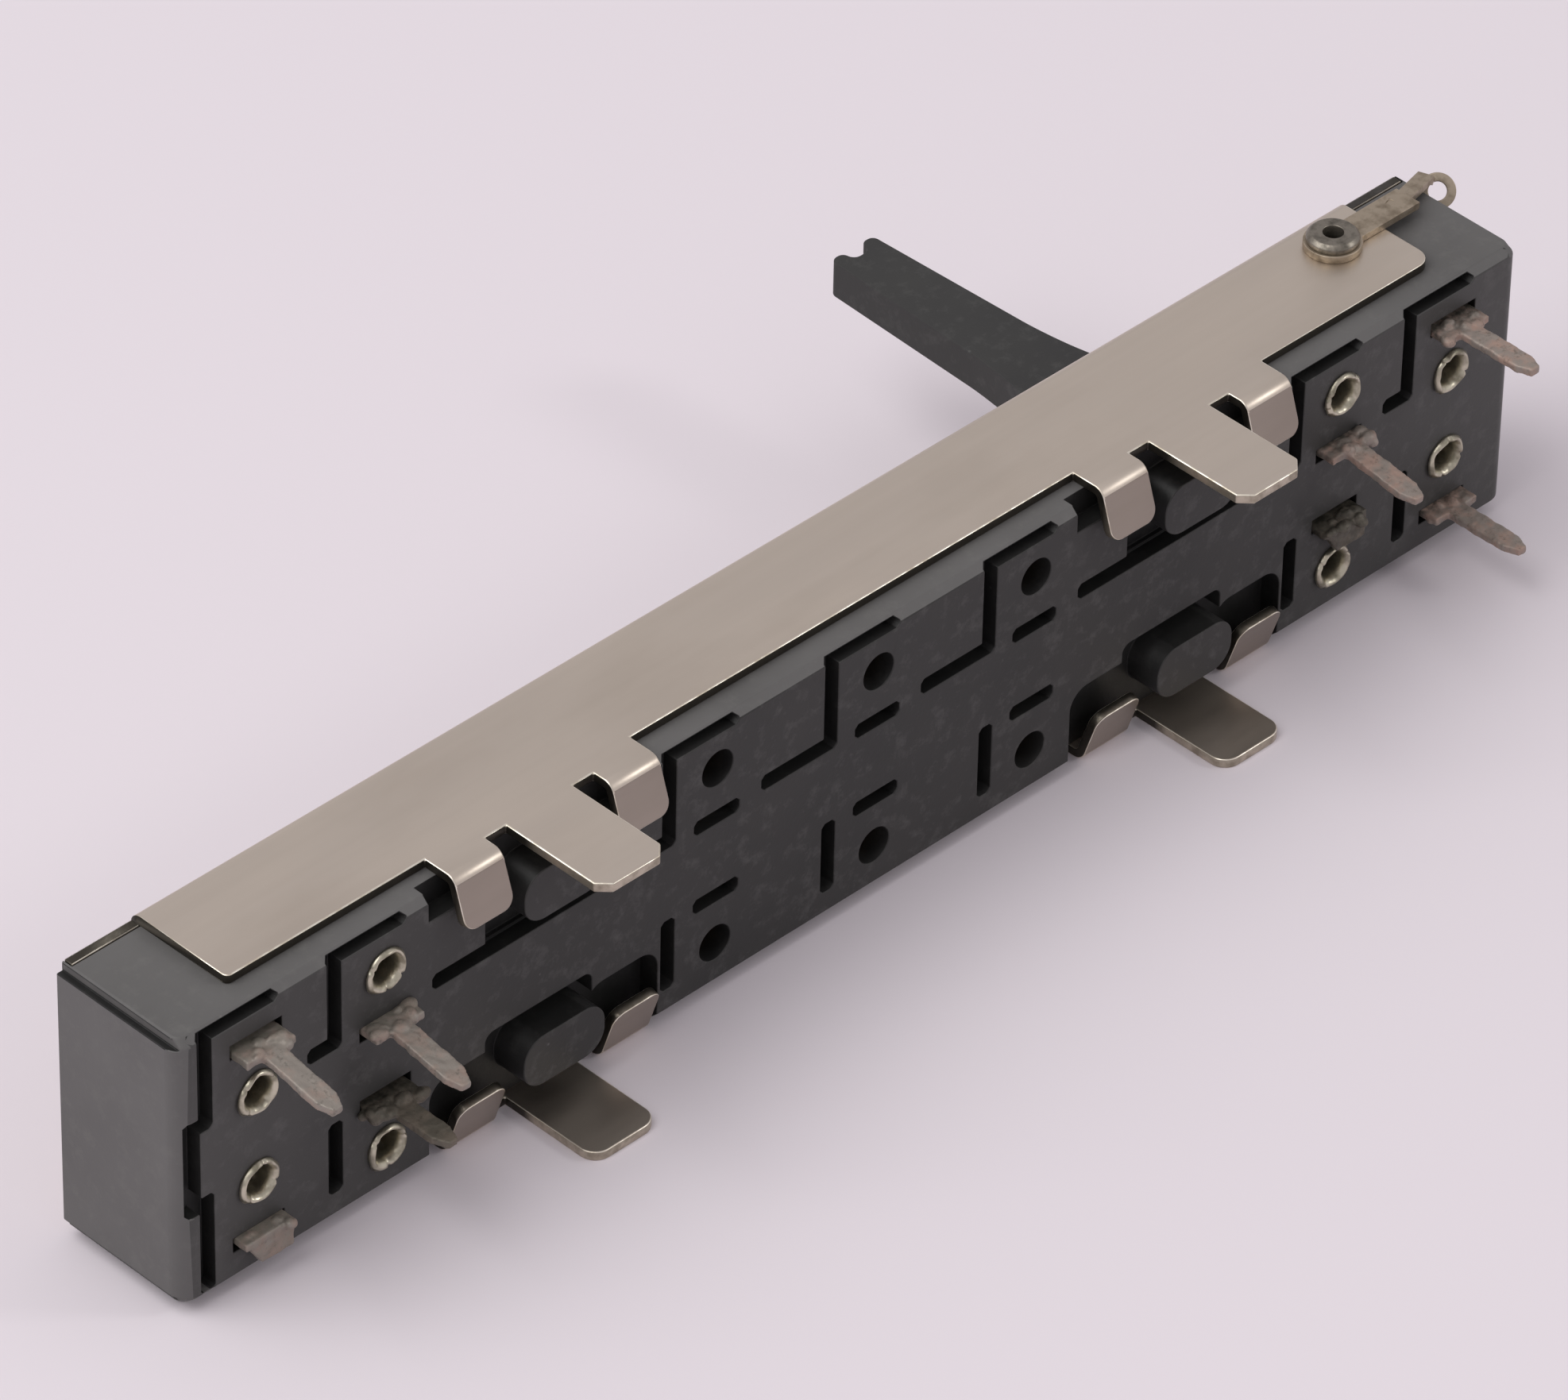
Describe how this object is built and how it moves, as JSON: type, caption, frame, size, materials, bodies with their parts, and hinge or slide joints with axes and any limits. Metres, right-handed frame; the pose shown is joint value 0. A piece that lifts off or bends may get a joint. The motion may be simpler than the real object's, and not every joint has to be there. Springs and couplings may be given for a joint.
{
  "type": "slide potentiometer",
  "caption": "Slide potentiometer: moulded housing in a clinched sheet-steel cover, riveted pins, board tabs, an earth lug and a flat notched lever that slides along the cover.",
  "frame": {"origin": "on the outer face of the lower side plate of the cover, midway along the body and midway between the web and the board face", "axes": "+X along the travel towards the earth lug, +Y the way the lever points, +Z across the width, up from the lower side plate"},
  "size_m": [0.0859, 0.0325, 0.0169],
  "materials": {
    "housing_plastic": "moulded, charcoal grey, slightly worn edges",
    "cover_steel": "tinned sheet steel, satin, warm grey",
    "board_laminate": "paper-phenolic laminate, brown",
    "slider_plastic": "moulded, near black, satin",
    "lug_metal": "dull plated brass, warm grey",
    "carbon_print": "printed carbon film",
    "silver_print": "printed silver paste",
    "wiper_bronze": "spring bronze, bare",
    "terminal_metal": "tinned, with dull solder residue",
    "eyelet_metal": "dull nickel-plated brass"
  },
  "bodies": {
    "chassis": {"housing": "housing_plastic", "cover": "cover_steel", "element_board": "board_laminate", "ground_lug": "lug_metal", "ground_rivet": "lug_metal", "resistor_track_upper": "carbon_print", "resistor_track_lower": "carbon_print", "silver_prints_upper": "silver_print", "silver_prints_lower": "silver_print", "terminal_upper_outer_left": "terminal_metal", "terminal_upper_inner_left": "terminal_metal", "terminal_upper_inner_right": "terminal_metal", "terminal_upper_outer_right": "terminal_metal", "terminal_lower_outer_left": "terminal_metal", "terminal_lower_inner_left": "terminal_metal", "terminal_lower_inner_right": "terminal_metal", "terminal_lower_outer_right": "terminal_metal", "eyelet_upper_outer_left": "eyelet_metal", "eyelet_upper_inner_left": "eyelet_metal", "eyelet_upper_inner_right": "eyelet_metal", "eyelet_upper_outer_right": "eyelet_metal", "eyelet_lower_outer_left": "eyelet_metal", "eyelet_lower_inner_left": "eyelet_metal", "eyelet_lower_inner_right": "eyelet_metal", "eyelet_lower_outer_right": "eyelet_metal"},
    "slide": {"slider": "slider_plastic", "wiper_upper": "wiper_bronze", "wiper_lower": "wiper_bronze"}
  },
  "joints": [
    {"name": "lever_slide", "type": "slide", "parent": "chassis", "child": "slide", "axis": [1, 0, 0], "range_m": [-0.0554, 0.0046]}
  ]
}
